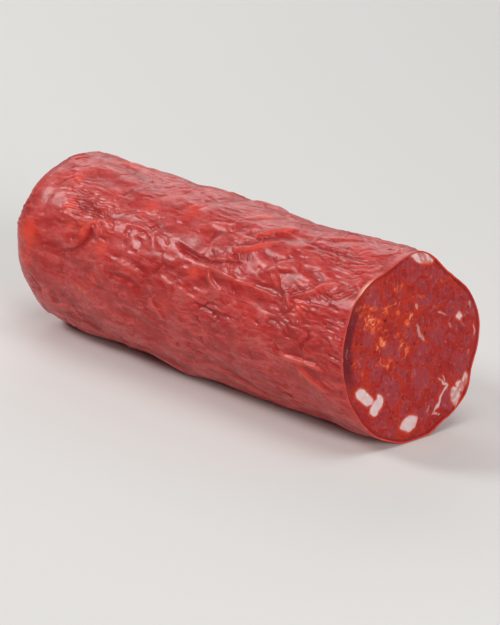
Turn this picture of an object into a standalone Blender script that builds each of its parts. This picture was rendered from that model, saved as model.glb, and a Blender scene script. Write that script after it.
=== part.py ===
"""The cut half of a thick cured sausage, lying on its side, as one solid.

It is a log with a blunt domed end towards -X and a flat, slightly leaning cut at +X. Drying has
left it uneven, with shallow dents and swellings, and it rests on a narrow flat pressed by its own
weight. Metres, +Z up. The origin is in the middle of the base of its bounding box.
"""

import math
from random import Random

import bmesh
import bpy
import numpy as np
from mathutils import Vector

MM = 0.001
SAME_PLACE = 0.01 * MM  # points closer than this are one point

# Driving dimensions
LENGTH = 162 * MM  # from the tip of the dome to the middle of the cut
RADIUS = 27.5 * MM  # at the cut
DOME_RADIUS = 28.4 * MM  # where the dome starts: the log is a little thicker there
DOME_LENGTH = 17.5 * MM
DOME_POWER = 2.36  # exponent of the dome's superellipse: 2 would be an ellipse, more is blunter
CUT_LEAN = math.radians(6.2)  # the cut leans back at its top
REST_DEPTH = 0.65 * MM  # how much of the round underside is pressed flat

# Grid of the faceted skin
COLUMNS = 92
DOME_RINGS = 13
DOME_RING_SPACING = 2.2  # more than 1 packs the rings closer towards the tip, where it is flattest
LOG_RINGS = 38
PAST_CUT = 8 * MM  # the log is made this much too long and is then cut

UNDERSIDE = math.radians(270)  # angles run from +Y through +Z
SHARP_EDGE = math.radians(50)

CASING_COLOUR = (0.50, 0.06, 0.05, 1.0)
CASING_ROUGHNESS = 0.42

# Uneven places: along X from the middle, angle, half length, half width, height.
# Lengths are in millimetres and angles in degrees.
SWELLINGS = (
    (-49, 244, 10, 16, 1.3),  # lower front, near the dome
    (2, 241, 14, 18, 1.6),  # lower front, middle
    (44, 242, 12, 16, 1.7),  # lower front, near the cut
    (74, 241, 11, 16, 1.2),
    (68, 66, 14, 22, 0.8),  # upper back, at the cut
    (-70, 162, 8, 14, 0.7),  # front of the dome
    (-22, 168, 13, 20, 0.6),  # front
    (24, 196, 12, 16, 0.5),
    (-60, 132, 12, 18, 0.6),
    (-12, 330, 18, 20, 0.6),  # back
    (30, 12, 16, 18, 0.7),
    (-55, 20, 14, 20, 0.5),
)
DENTS = (
    (31, 66, 15, 24, -1.5),  # the waist in the upper back
    (-3, 67, 13, 22, -0.5),
    (-27, 67, 11, 20, -1.1),
    (-56, 66, 14, 24, -1.2),
    (-70, 204, 8, 14, -1.1),  # lower front of the dome
    (14, 118, 12, 14, -0.7),
    (-38, 108, 11, 16, -0.6),
    (44, 158, 10, 15, -0.8),
    (2, 200, 9, 13, -0.6),
    (-42, 196, 12, 14, -0.7),
    (58, 207, 9, 12, -0.7),
    (8, 350, 20, 16, -0.7),
    (-35, 2, 14, 16, -0.6),
    (58, 325, 14, 16, -0.6),
)
CUT_OUTLINE = (  # corners and flats of the cut's edge, which fade along the log
    (81, 79, 11, 9, 1.2),
    (81, 9, 13, 14, 1.2),
    (81, 134, 12, 14, 0.5),
    (81, 263, 9, 8, 0.8),
    (81, 106, 12, 11, -1.5),
    (81, 48, 12, 16, -1.5),
    (81, 250, 9, 9, -0.9),
    (81, 289, 10, 13, -1.6),
    (81, 338, 10, 9, -1.5),
)
SMALL_LUMPS = 190
SMALL_LUMP_HEIGHT = 0.5 * MM
SMALL_LUMP_LENGTHS = (4 * MM, 10 * MM)  # half lengths
SMALL_LUMP_WIDTHS = (2.4 * MM, 4.6 * MM)
MOST_SLANT = math.radians(40)  # small lumps lie along the log, give or take this much
POLE_RADIUS = 9 * MM  # the dome's tip is even, as all angles meet there
PRESSED_WIDTH = math.radians(24)
PRESSED_SHARE = 0.85
LUMP_SEED = 7


def clear_scene():
    for item in list(bpy.data.objects):
        bpy.data.objects.remove(item, do_unlink=True)


def new_collection(name):
    collection = bpy.data.collections.new(name)
    bpy.context.scene.collection.children.link(collection)
    return collection


def meridian():
    """The log's plain outline from the tip of the dome to past the cut, as (x, radius)."""
    tip = -LENGTH / 2
    points = []
    for i in range(DOME_RINGS):
        share = (i / DOME_RINGS) ** DOME_RING_SPACING
        fall = (1 - share) ** DOME_POWER
        points.append((tip + share * DOME_LENGTH, DOME_RADIUS * (1 - fall) ** (1 / DOME_POWER)))
    start, end = tip + DOME_LENGTH, LENGTH / 2 + PAST_CUT
    for i in range(LOG_RINGS + 1):
        x = start + (end - start) * i / LOG_RINGS
        share = (x - start) / (LENGTH / 2 - start)
        points.append((x, DOME_RADIUS + (RADIUS - DOME_RADIUS) * share))
    points.append((end, 0.0))
    return points


def turned_log(points):
    """The meridian stood along Z and turned about it by a Screw modifier, as a mesh."""
    outline = bpy.data.meshes.new("outline")
    corners = [(radius, 0.0, x) for x, radius in reversed(points)]
    edges = [(i, i + 1) for i in range(len(corners) - 1)]
    outline.from_pydata(corners, edges, [])
    turned = bpy.data.objects.new("turned", outline)
    bpy.context.scene.collection.objects.link(turned)
    screw = turned.modifiers.new("turn", "SCREW")
    screw.axis = "Z"
    screw.steps = screw.render_steps = COLUMNS
    screw.use_merge_vertices = True
    screw.merge_threshold = SAME_PLACE
    graph = bpy.context.evaluated_depsgraph_get()
    mesh = bpy.data.meshes.new_from_object(turned.evaluated_get(graph))
    bpy.data.objects.remove(turned)
    return mesh


def small_lumps():
    """Seeded fine unevenness: (x, angle, half length, half width, height, slant) of each lump."""
    draw = Random(LUMP_SEED)
    lumps = []
    for _ in range(SMALL_LUMPS):
        x = draw.uniform(-LENGTH / 2, LENGTH / 2)
        angle = draw.uniform(0, 2 * math.pi)
        half_length = draw.uniform(*SMALL_LUMP_LENGTHS)
        half_width = draw.uniform(*SMALL_LUMP_WIDTHS)
        height = draw.uniform(-1, 1) * SMALL_LUMP_HEIGHT
        lumps.append((x, angle, half_length, half_width, height, draw.uniform(-1, 1) * MOST_SLANT))
    return lumps


def named_lumps():
    """SWELLINGS, DENTS and CUT_OUTLINE in the same form, with no slant."""
    return [
        (x * MM, math.radians(angle), length * MM, math.radians(width) * RADIUS, height * MM, 0.0)
        for x, angle, length, width, height in SWELLINGS + DENTS + CUT_OUTLINE
    ]


def turned_by(angles, centre):
    """The signed angle from centre, between minus and plus half a turn."""
    return (angles - centre + math.pi) % (2 * math.pi) - math.pi


def unevenness(x, angles, radius):
    """How far the skin stands out from the plain log at these places."""
    height = np.zeros_like(x)
    for centre, angle, half_length, half_width, rise, slant in named_lumps() + small_lumps():
        along = x - centre
        across = turned_by(angles, angle) * RADIUS
        lengthwise = (along * math.cos(slant) + across * math.sin(slant)) / half_length
        widthwise = (across * math.cos(slant) - along * math.sin(slant)) / half_width
        height += rise * np.exp(-(lengthwise**2) - widthwise**2)
    pressed = np.exp(-((turned_by(angles, UNDERSIDE) / PRESSED_WIDTH) ** 2))
    even_tip = np.clip(radius / POLE_RADIUS, 0, 1) ** 2
    return height * (1 - PRESSED_SHARE * pressed) * even_tip


def shape_skin(mesh):
    """Moves every point of the turned log along its own direction from the log's core line."""
    points = np.empty(len(mesh.vertices) * 3)
    mesh.vertices.foreach_get("co", points)
    # The Screw turned the log about Z. Its X and Z change places here, which lays it down.
    z, y, x = points.reshape(-1, 3).T
    radius = np.hypot(y, z)
    angles = np.arctan2(z, y)
    core = -LENGTH / 2 + DOME_LENGTH  # the dome's points move away from this end of the core line
    away = np.minimum(x - core, 0.0)
    reach = np.maximum(np.hypot(away, radius), SAME_PLACE)
    height = unevenness(x, angles, radius)
    x = x + height * away / reach
    radius = radius + height * radius / reach
    moved = np.column_stack((x, radius * np.cos(angles), radius * np.sin(angles)))
    mesh.vertices.foreach_set("co", moved.ravel())
    mesh.update()


def slice_off(shell, point, outward):
    """Cuts away what lies past a plane and closes the opening with a flat face."""
    everything = shell.verts[:] + shell.edges[:] + shell.faces[:]
    cut = bmesh.ops.bisect_plane(
        shell, geom=everything, plane_co=point, plane_no=outward, dist=SAME_PLACE, clear_outer=True
    )
    rim = [item for item in cut["geom_cut"] if isinstance(item, bmesh.types.BMEdge)]
    bmesh.ops.edgeloop_fill(shell, edges=rim)


def cut_and_flatten(mesh):
    """Closes the skin, presses its underside flat and makes the leaning cut at +X."""
    shell = bmesh.new()
    shell.from_mesh(mesh)
    bmesh.ops.remove_doubles(shell, verts=shell.verts, dist=SAME_PLACE)
    slice_off(shell, Vector((0, 0, REST_DEPTH - RADIUS)), Vector((0, 0, -1)))
    cut_normal = Vector((math.cos(CUT_LEAN), 0, math.sin(CUT_LEAN)))
    slice_off(shell, Vector((LENGTH / 2, 0, 0)), cut_normal)
    bmesh.ops.recalc_face_normals(shell, faces=shell.faces)
    shell.to_mesh(mesh)
    shell.free()


def sausage_material():
    material = bpy.data.materials.new("cured_sausage")
    material.use_nodes = True
    surface = material.node_tree.nodes["Principled BSDF"]
    surface.inputs["Base Color"].default_value = CASING_COLOUR
    surface.inputs["Roughness"].default_value = CASING_ROUGHNESS
    surface.inputs["Metallic"].default_value = 0.0
    return material


def base_middle(mesh):
    """The middle of the base of the mesh's bounding box."""
    low = [min(vertex.co[i] for vertex in mesh.vertices) for i in range(3)]
    high = [max(vertex.co[i] for vertex in mesh.vertices) for i in range(3)]
    return Vector(((low[0] + high[0]) / 2, (low[1] + high[1]) / 2, low[2]))


def main():
    clear_scene()
    mesh = turned_log(meridian())
    shape_skin(mesh)
    cut_and_flatten(mesh)
    mesh.name = "sausage"
    mesh.materials.clear()
    mesh.materials.append(sausage_material())
    mesh.shade_smooth()
    mesh.set_sharp_from_angle(angle=SHARP_EDGE)
    sausage = bpy.data.objects.new("sausage", mesh)
    sausage.location = -base_middle(mesh)
    new_collection("cured_sausage").objects.link(sausage)


main()
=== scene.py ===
"""Looks of the cured sausage: its wrinkled casing, its coarse-minced cut and a soft studio.

Lengths here are millimetres until a mesh is made. Places on the casing are (x, angle): x runs along
the sausage from the middle of its box, and the angle runs from +Y through +Z, seen from +X, so the
side towards the camera is near 150 degrees and the underside is at 270. Places on the cut are
(y, up), from its middle.
"""

import math

import bpy
import numpy as np
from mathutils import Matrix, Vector
from mathutils.bvhtree import BVHTree


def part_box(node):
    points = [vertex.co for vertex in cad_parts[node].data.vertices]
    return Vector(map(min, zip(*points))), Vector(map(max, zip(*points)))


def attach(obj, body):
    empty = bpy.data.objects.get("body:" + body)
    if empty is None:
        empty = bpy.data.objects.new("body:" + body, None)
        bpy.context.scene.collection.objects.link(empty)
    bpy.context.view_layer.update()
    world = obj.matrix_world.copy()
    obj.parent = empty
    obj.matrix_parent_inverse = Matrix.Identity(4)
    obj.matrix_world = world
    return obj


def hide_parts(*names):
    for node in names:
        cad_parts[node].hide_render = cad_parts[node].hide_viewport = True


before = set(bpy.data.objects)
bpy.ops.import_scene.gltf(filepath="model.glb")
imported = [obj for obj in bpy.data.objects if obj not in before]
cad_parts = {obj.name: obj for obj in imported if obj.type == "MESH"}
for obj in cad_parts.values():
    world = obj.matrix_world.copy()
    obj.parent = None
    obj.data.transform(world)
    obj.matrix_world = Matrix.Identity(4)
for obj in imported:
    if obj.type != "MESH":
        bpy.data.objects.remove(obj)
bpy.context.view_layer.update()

MM = 0.001
NODE = "sausage"

# Grid of the casing
COLUMNS = 576  # round the sausage
SPACING = 0.3  # between rings
CORE_HEIGHT = 27.0  # the line that the casing is measured from
DOME_DEPTH = 17.5
SHORT_OF_CUT = 0.1
CAP_STRIDES = ((16.0, 2), (8.0, 4), (4.0, 8), (2.0, 16))  # inside a radius, every 2nd column, and so on
CAD_SMOOTHING = 1.6  # rounds off the CAD's facets
INSET = 0.25  # the casing lies this far inside the CAD skin, to leave its wrinkles room
BANDS = 4  # meshes that the casing is made of, along the sausage

UNDERSIDE = math.radians(270)
PRESSED = math.radians(17)  # half width of the strip that the sausage's weight presses flat

# Wrinkles: a film with more skin than it needs, stuck to a soft core, relaxed on three grids.
# Each adds finer wrinkles. Sizes are millimetres along and round.
LEVELS = (
    {"step": 4, "iterations": 300, "bending": 0.012, "sticking": 0.004, "seed_height": 0.15,
     "seed_size": (8, 3)},
    {"step": 2, "iterations": 200, "bending": 0.008, "sticking": 0.006, "seed_height": 0.06,
     "seed_size": (4, 1.6)},
    {"step": 1, "iterations": 120, "bending": 0.020, "sticking": 0.008, "seed_height": 0.04,
     "seed_size": (2.6, 1.0)},
)
# Seeded folds over the whole casing
LARGE_FOLDS = {"seed": 16, "count": 200, "lengths": (4, 14), "stride": 1.0, "heights": (0.08, 0.32),
               "steep": (0.3, 0.5), "gentle": (0.9, 2.4)}
FINE_FOLDS = {"seed": 18, "count": 760, "lengths": (2.5, 9), "stride": 0.6, "heights": (0.06, 0.20),
              "steep": (0.22, 0.35), "gentle": (0.5, 1.2)}
# How the film moves at each step of the simulation, as shares
CORE_PUSH = 0.12  # of its depth below the ground that it comes back
SLIP = 0.02  # of its sideways shift that it slides back
PUSH = 0.9  # of a thread's wrong length that is put right
SHEAR_PUSH = 0.6  # the same for the two diagonals together
TURN_SPREAD = 24  # degrees that the wrinkles' direction varies by
TIP_FADE = (3.0, 12.0)  # radii between which wrinkles die out towards the tip of the dome

# The casing's edge at the cut
LIP_HEIGHT = 0.22
LIP_CURL = 0.5  # how much more it stands up where it has curled
LIP_CURL_AT = 128  # degrees
LIP_CURL_SPREAD = 9  # degrees
# How wide the painted highlight on the curled lip is
LIP_HIGHLIGHT_SPREAD = 7  # degrees
CALM_AT_CUT = 3  # wrinkles weaken over the last millimetres before the cut

# The cut
CUT_CELLS = 240
CUT_SPACING = 0.23
CUT_DEPTH = -0.2  # the meat has shrunk back this much from the plane of the cut
GRAIN_COUNT = 150
PORE_SIZE = 0.38


def colour(red, green, blue):
    """A colour named by its 0-255 sRGB values, in linear light."""
    values = np.array([red, green, blue]) / 255
    linear = np.where(values <= 0.04045, values / 12.92, ((values + 0.055) / 1.055) ** 2.4)
    return tuple(linear) + (1.0,)


# Colours
CASING_RED = colour(186, 32, 28)
CASING_LIGHT = colour(202, 54, 49)
CASING_BROWN = colour(158, 42, 33)
# Deep red: the skin's own tone in patches and streaks, and painted shade in its creases and hollows
CASING_DEEP_AND_SHADE = colour(156, 16, 12)
# Orange of the skin's spots, and painted glow along the crests of the named folds
CASING_ORANGE_AND_GLOW = colour(232, 62, 34)
# Painted sheen: a milky pink laid over the skin in patches and streaks, in place of soft reflections
CASING_PAINTED_SHEEN = colour(208, 92, 88)
# Painted light: the milky pink of ridges where light shines through the thin skin
CASING_RIDGE_PAINTED_LIGHT = colour(216, 84, 76)
# Painted highlight on the curled lip
LIP_PAINTED_HIGHLIGHT = colour(240, 176, 150)
LIP_COLOUR = colour(206, 56, 38)
MEAT_RED = colour(150, 28, 28)
MEAT_PURPLE = colour(150, 52, 60)
MEAT_DARK = colour(108, 18, 24)
MEAT_PALE = colour(188, 104, 100)
MEAT_ORANGE = colour(172, 40, 24)
CRUMB_ORANGE = colour(208, 78, 38)
# Pale tops of the crumbs: partly pale fat, partly painted highlight
CRUMB_PALE_AND_HIGHLIGHT = colour(228, 156, 122)
DRY_EDGE = colour(96, 14, 26)
HALO_ORANGE = colour(206, 74, 40)
FAT_WHITE = colour(212, 184, 184)
FAT_PINK = colour(206, 174, 173)
# Painted shade inside the small holes of the cut
PORE_SHADE = colour(70, 10, 8)
FLOOR_PALE = colour(225, 223, 220)

# Orange spots on the casing: x, angle, half size, strength
ORANGE_SPOTS = (
    (-51, 139, 2.2, 1.0), (-56, 119, 2.2, 0.8), (-59, 115, 1.8, 0.5), (-65, 164, 4.0, 0.9),
    (-64, 170, 3.0, 0.8), (-66, 178, 3.5, 0.5), (-41, 150, 2.2, 0.9), (-37, 142, 2.0, 0.9),
    (-30, 156, 2.6, 0.8), (-47, 151, 2.0, 0.4), (-51, 80, 4.5, 0.9), (-4, 112, 3.0, 0.5),
    (-20, 121, 3.0, 0.5), (12, 153, 1.8, 0.7), (16, 152, 3.0, 0.4), (64, 192, 4.0, 0.5),
    (-32, 180, 2.4, 0.6), (-38, 190, 3.0, 0.4), (58, 152, 2.4, 0.5), (20, 96, 2.5, 0.5),
    (46, 142, 1.8, 0.6), (2, 180, 2.2, 0.5), (-12, 150, 1.6, 0.4),
)

# Studio: places and sizes in metres
WORLD_STRENGTH = 0.12
LAMPS = (  # name, place, size, watts
    ("key", (-0.78, -0.54, 0.76), (0.36, 0.36), 6.0),
    ("back", (-0.85, 0.65, 0.62), (1.2, 0.5), 3.8),
    ("top", (0.25, 0.1, 1.3), (0.9, 0.9), 6.0),
    ("front", (1.1, -0.35, 0.42), (0.5, 0.5), 9.0),
)

# Camera
CAMERA_AZIMUTH = 48.89
CAMERA_ELEVATION = 17.9
CAMERA_DISTANCE = 0.926
CAMERA_LENS = 174.4
AIM_RIGHT = 0.0062
AIM_DOWN = 0.0082


# ---------------------------------------------------------------- small tools


def smoothstep(value, low, high):
    share = np.clip((value - low) / (high - low), 0, 1)
    return share * share * (3 - 2 * share)


def blur(grid, rows, columns):
    """Gaussian blur of a grid by so many cells; columns wrap round, rows end at the edges."""
    mirrored = np.concatenate((grid, grid[::-1]), axis=0)
    fy = np.fft.fftfreq(mirrored.shape[0])[:, None]
    fx = np.fft.rfftfreq(mirrored.shape[1])[None, :]
    keep = np.exp(-2 * (math.pi**2) * ((fx * columns) ** 2 + (fy * rows) ** 2))
    return np.fft.irfft2(np.fft.rfft2(mirrored) * keep, s=mirrored.shape)[: grid.shape[0]]


def noise(shape, rows, columns, seed):
    """Smooth seeded noise of unit spread, with features of so many cells."""
    grid = blur(np.random.default_rng(seed).standard_normal(shape), rows, columns)
    return (grid - grid.mean()) / grid.std()


def dot(a, b):
    return (a * b).sum(-1)


def length_of(vectors):
    return np.sqrt(dot(vectors, vectors))


def in_box(places):
    """Places kept just inside the CAD solid's box."""
    low, high = (np.array(corner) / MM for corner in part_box(NODE))
    return np.clip(places, low + 0.02, high - 0.02)


# ---------------------------------------------------------------- the casing's smooth base


def node_triangles(node):
    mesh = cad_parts[node].data
    mesh.calc_loop_triangles()
    points = np.empty(len(mesh.vertices) * 3)
    mesh.vertices.foreach_get("co", points)
    corners = np.empty(len(mesh.loop_triangles) * 3, dtype=np.int32)
    mesh.loop_triangles.foreach_get("vertices", corners)
    return points.reshape(-1, 3) / MM, corners.reshape(-1, 3)


def cut_plane(points, triangles):
    """A point in the middle of the CAD's cut face, and its normal."""
    a, b, c = (points[triangles[:, i]] for i in range(3))
    cross = np.cross(b - a, c - a)
    area = length_of(cross)
    cut = cross[:, 0] > 0.95 * area
    weights = area[cut][:, None]
    middle = ((a + b + c)[cut] / 3 * weights).sum(0) / weights.sum()
    normal = cross[cut].sum(0)
    return middle, normal / np.linalg.norm(normal)


def doubled(grid, shape):
    """A coarse grid's values on a grid with twice as many cells each way."""
    rows = np.linspace(0, (shape[0] - 1) / 2, shape[0])
    low = np.minimum(rows.astype(int), grid.shape[0] - 2)
    part = (rows - low).reshape((-1,) + (1,) * (grid.ndim - 1))
    tall = grid[low] * (1 - part) + grid[low + 1] * part
    full = np.repeat(tall, 2, axis=1)
    full[:, 1::2] = (tall + np.roll(tall, -1, 1)) / 2
    return full


class Grid:
    """A casing as rings by columns: places, outward normals, x, angle and radius."""

    def __init__(self, places, spacing):
        self.places = places
        self.spacing = spacing
        self.shape = places.shape[:2]
        self.normals = self.outward(places)
        self.x = places[..., 0]
        self.along = np.broadcast_to(np.arange(self.shape[0])[:, None] * spacing, self.shape)
        self.radius = np.hypot(places[..., 1], places[..., 2] - CORE_HEIGHT)
        angles = UNDERSIDE + np.arange(self.shape[1]) * 2 * math.pi / self.shape[1]
        self.angle = np.broadcast_to(angles, self.shape)

    def outward(self, places):
        across = np.roll(places, -1, 1) - np.roll(places, 1, 1)
        normals = np.cross(across, np.gradient(places, axis=0))
        middle = normals.shape[0] // 2
        if dot(normals[middle], places[middle] - (0, 0, CORE_HEIGHT))[0] < 0:
            normals = -normals
        return normals / length_of(normals)[..., None]

    def every(self, step):
        return Grid(self.places[::step, ::step], self.spacing * step)

    def noise(self, along, around, seed):
        """Noise whose blobs are about that many millimetres along the casing and round it."""
        return noise(self.shape, along / 2 / self.spacing, around / 2 / self.spacing, seed)

    def blurred(self, values, size):
        return blur(values, size / self.spacing, size / self.spacing)

    def place(self, x, angle):
        """The grid's point at a place on the log."""
        column = round((math.radians(angle) - UNDERSIDE) % (2 * math.pi) / (2 * math.pi) * self.shape[1])
        column %= self.shape[1]
        row = np.searchsorted(self.x[:, column], x)
        return self.places[min(row, self.shape[0] - 1), column]

    def offset(self, x, angle):
        """Where the grid lies from a place on the casing, unrolled: (along, across)."""
        around = (self.angle - math.radians(angle) + math.pi) % (2 * math.pi) - math.pi
        return self.x - x, around * CORE_HEIGHT


class Skin:
    """The CAD skin, measured by rays from the core line and smoothed."""

    def __init__(self):
        points, triangles = node_triangles(NODE)
        self.tree = BVHTree.FromPolygons(points.tolist(), triangles.tolist())
        self.cut_middle, self.cut_normal = cut_plane(points, triangles)
        self.core = np.array([points[:, 0].min() + DOME_DEPTH, 0.0, CORE_HEIGHT])
        angles = UNDERSIDE + np.arange(COLUMNS // 2) * 4 * math.pi / COLUMNS
        self.round = np.column_stack((np.zeros(len(angles)), np.cos(angles), np.sin(angles)))

    def reach(self, origin, direction):
        """How far the CAD skin is from a point inside it."""
        return self.tree.ray_cast(Vector(origin), Vector(direction))[3]

    def dome_slopes(self):
        """Slopes from the tip (90 degrees) down to the log, evenly spaced along the dome."""
        slopes = np.linspace(math.pi / 2, 0, 91)
        spokes = self.round[:: len(self.round) // 16]
        reach = np.array([
            np.mean([
                self.reach(self.core, math.cos(slope) * spoke - (math.sin(slope), 0, 0))
                for spoke in spokes
            ])
            for slope in slopes
        ])
        steps = np.hypot(np.diff(reach), (reach[1:] + reach[:-1]) / 2 * np.abs(np.diff(slopes)))
        along = np.concatenate(([0], np.cumsum(steps)))
        count = round(along[-1] / (2 * SPACING))
        return np.interp(np.arange(1, count) * along[-1] / count, along, slopes)

    def grid(self):
        """The smooth casing at full density, measured at half of it."""
        origins, spokes = [], []
        for slope in self.dome_slopes():
            origins.append(self.core)
            spokes.append(math.cos(slope) * self.round - (math.sin(slope), 0, 0))
        log = (self.cut_middle - self.core)[0] - SHORT_OF_CUT
        rings = round(log / (2 * SPACING))
        rings += (len(spokes) + rings) % 2  # an odd number in all, so that every second one ends too
        lean = -self.cut_normal[2] / self.cut_normal[0] * self.round[:, 2]
        for share in np.arange(rings + 1) / rings:
            origins.append(self.core + (share * log, 0, 0))
            leaning = self.round + np.outer(share * lean, (1, 0, 0))
            spokes.append(leaning / length_of(leaning)[:, None])
        reach = np.array([
            [self.reach(origin, spoke) for spoke in row] for origin, row in zip(origins, spokes)
        ])
        cells = CAD_SMOOTHING / (2 * SPACING)
        reach = blur(reach, cells, cells) - INSET
        places = np.array(origins)[:, None] + reach[..., None] * np.array(spokes)
        fine = doubled(places, (2 * len(places) - 1, COLUMNS))
        return Grid(np.stack([blur(fine[..., i], 1.2, 1.2) for i in range(3)], -1), SPACING)


# ---------------------------------------------------------------- folds and wrinkles


# Folds: (x, angle) along the crest or valley, height, width of its steep side, of its gentle side
FOLDS = (
    (((24, 120), (31, 110), (38, 99)), 1.0, 0.5, 1.5),
    (((18, 133), (28, 128), (32, 123), (39, 114)), 1.1, 0.5, 1.6),
    (((-2, 138), (6, 142), (16, 144), (25, 140)), -0.8, 0.6, 1.2),
    (((16, 147), (29, 149), (42, 150), (50, 151)), 0.55, 0.7, 1.8),
    (((50, 151), (59, 142), (64, 134), (72, 131)), 0.6, 0.6, 1.6),
    (((50, 182), (58, 183), (67, 183), (73, 185)), 1.1, 0.45, 1.5),
    (((59, 187), (65, 193), (74, 201)), 0.7, 1.4, 1.8),
    (((66, 165), (61, 176)), -0.5, 0.8, 1.3),
    (((72, 173), (80, 175)), -0.35, 0.45, 0.6),
    (((72, 177), (80, 179)), -0.35, 0.45, 0.6),
    (((-51, 169), (-42, 163), (-38, 154), (-39, 138)), -0.9, 0.5, 1.8),
    (((-43, 155), (-40, 149), (-37, 141)), 0.5, 0.6, 1.6),
    (((-37, 141), (-34, 148), (-33, 154)), 0.45, 0.5, 1.2),
    (((-26, 162), (-17, 163), (-8, 166)), 0.35, 0.5, 1.6),
    (((-28, 172), (-18, 170), (-9, 173)), -0.45, 0.8, 1.5),
    (((17, 149), (21, 156), (27, 160)), 0.6, 0.7, 1.0),
    (((48, 111), (56, 108), (68, 110)), -0.6, 0.6, 1.4),
    (((-6, 174), (-2, 184), (2, 190)), 0.6, 0.9, 1.3),
    (((22, 141), (30, 138)), -0.7, 0.4, 0.8),
    (((12, 170), (24, 172), (36, 171)), -0.35, 0.6, 1.3),
)
# Where the casing is crinkled finely: (x, angle), half length along x, half width, excess of skin
CRINKLES = (
    ((22, 138), 9, 5, 0.10),
    ((43, 136), 5, 4, 0.08),
    ((62, 144), 12, 5, 0.12),
    ((54, 160), 9, 6, 0.12),
    ((24, 171), 14, 4, 0.10),
    ((76, 172), 5, 6, 0.10),
    ((-30, 127), 10, 6, 0.08),
    ((60, 110), 12, 4, 0.09),
    ((72, 120), 8, 6, 0.08),
    ((-24, 171), 10, 4, 0.06),
    ((70, 192), 8, 5, 0.06),
    ((-50, 84), 14, 7, 0.05),
    ((-18, 88), 16, 6, 0.05),
    ((18, 86), 14, 6, 0.06),
    ((58, 84), 14, 6, 0.06),
    ((-56, 122), 12, 10, 0.04),
    ((-36, 214), 14, 9, 0.04),
    ((8, 208), 16, 9, 0.04),
    ((48, 212), 14, 8, 0.05),
    ((-44, 34), 16, 9, 0.07),
    ((2, 48), 14, 7, 0.07),
    ((34, 22), 18, 9, 0.07),
    ((66, 40), 10, 9, 0.08),
    ((-14, 342), 16, 9, 0.06),
    ((44, 328), 16, 8, 0.06),
    ((-56, 322), 12, 10, 0.06),
    ((-66, 60), 8, 9, 0.06),
)


def between(a, b, c, d, t):
    """The point at share t from b to c on a Catmull-Rom curve."""
    square = (2 * a - 5 * b + 4 * c - d) * t**2
    return 0.5 * (2 * b + (c - a) * t + square + (3 * b - a - 3 * c + d) * t**3)


def rounded(points, steps=12):
    """A Catmull-Rom curve through the points."""
    points = np.array(points, float)
    ends = np.vstack((2 * points[0] - points[1], points, 2 * points[-1] - points[-2]))
    curve = []
    for a, b, c, d in zip(ends, ends[1:], ends[2:], ends[3:]):
        for t in np.linspace(0, 1, steps, endpoint=False):
            curve.append(between(a, b, c, d, t))
    curve.append(points[-1])
    return np.array(curve)


def fold_height(grid, line, height, steep, gentle):
    """One fold as relief along a line of places: steep on one side of it and gentle on the other."""
    margin = 2.5 * max(steep, gentle)
    near = np.all(
        (grid.places > line.min(0) - margin) & (grid.places < line.max(0) + margin), axis=-1
    )
    spots, normals = grid.places[near], grid.normals[near]
    best = np.full(len(spots), np.inf)
    side = np.zeros(len(spots))
    share = np.zeros(len(spots))
    for i, (start, end) in enumerate(zip(line, line[1:])):
        step = end - start
        t = np.clip((spots - start) @ step / (step @ step + 1e-9), 0, 1)
        gap = spots - start - t[:, None] * step
        far = length_of(gap)
        closer = far < best
        best[closer] = far[closer]
        side[closer] = dot(np.cross(step, gap[closer]), normals[closer])
        share[closer] = (i + t[closer]) / (len(line) - 1)
    width = np.where(side > 0, steep, gentle)
    fade = smoothstep(share, 0, 0.3) * smoothstep(1 - share, 0, 0.3)
    relief = np.zeros(grid.shape)
    relief[near] = height * fade * np.exp(-((best / width) ** 1.5))
    return relief


def named_folds(grid):
    """FOLDS as relief."""
    relief = np.zeros(grid.shape)
    for route, height, steep, gentle in FOLDS:
        line = np.array([grid.place(x, angle) for x, angle in rounded(route)])
        relief += fold_height(grid, line, height, steep, gentle)
    return relief


def seeded_folds(grid, turn, favoured, kind):
    """Curved creases and ridges as relief, across the way in which the skin has too much length.

    favoured is how likely each place is, up to 1.
    """
    draw = np.random.default_rng(kind["seed"])
    rows, columns = grid.shape
    relief = np.zeros(grid.shape)
    made = 0
    while made < kind["count"]:
        row, column = draw.uniform(3, rows - 4), draw.uniform(0, columns)
        start = int(row), int(column)
        if draw.uniform() > favoured[start]:
            continue
        made += 1
        heading, bend = draw.normal(-turn[start], 0.40), draw.normal(0, 0.08)
        line = []
        for _ in range(int(draw.uniform(*kind["lengths"]) / kind["stride"])):
            if not 2 < row < rows - 3:
                break
            spot = int(row), int(column) % columns
            line.append(grid.places[spot])
            row += kind["stride"] * math.cos(heading) / grid.spacing
            width = 2 * math.pi * max(grid.radius[spot], 2.0) / columns
            column += kind["stride"] * math.sin(heading) / width
            heading += kind["stride"] * (bend + draw.normal(0, 0.16))
        height = draw.uniform(*kind["heights"]) * draw.choice((-1, -1, 1))
        steep, gentle = draw.uniform(*kind["steep"]), draw.uniform(*kind["gentle"])
        if draw.uniform() < 0.5:
            line.reverse()
        if len(line) > 3:
            relief += fold_height(grid, np.array(line), height, steep, gentle)
    return relief


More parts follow.
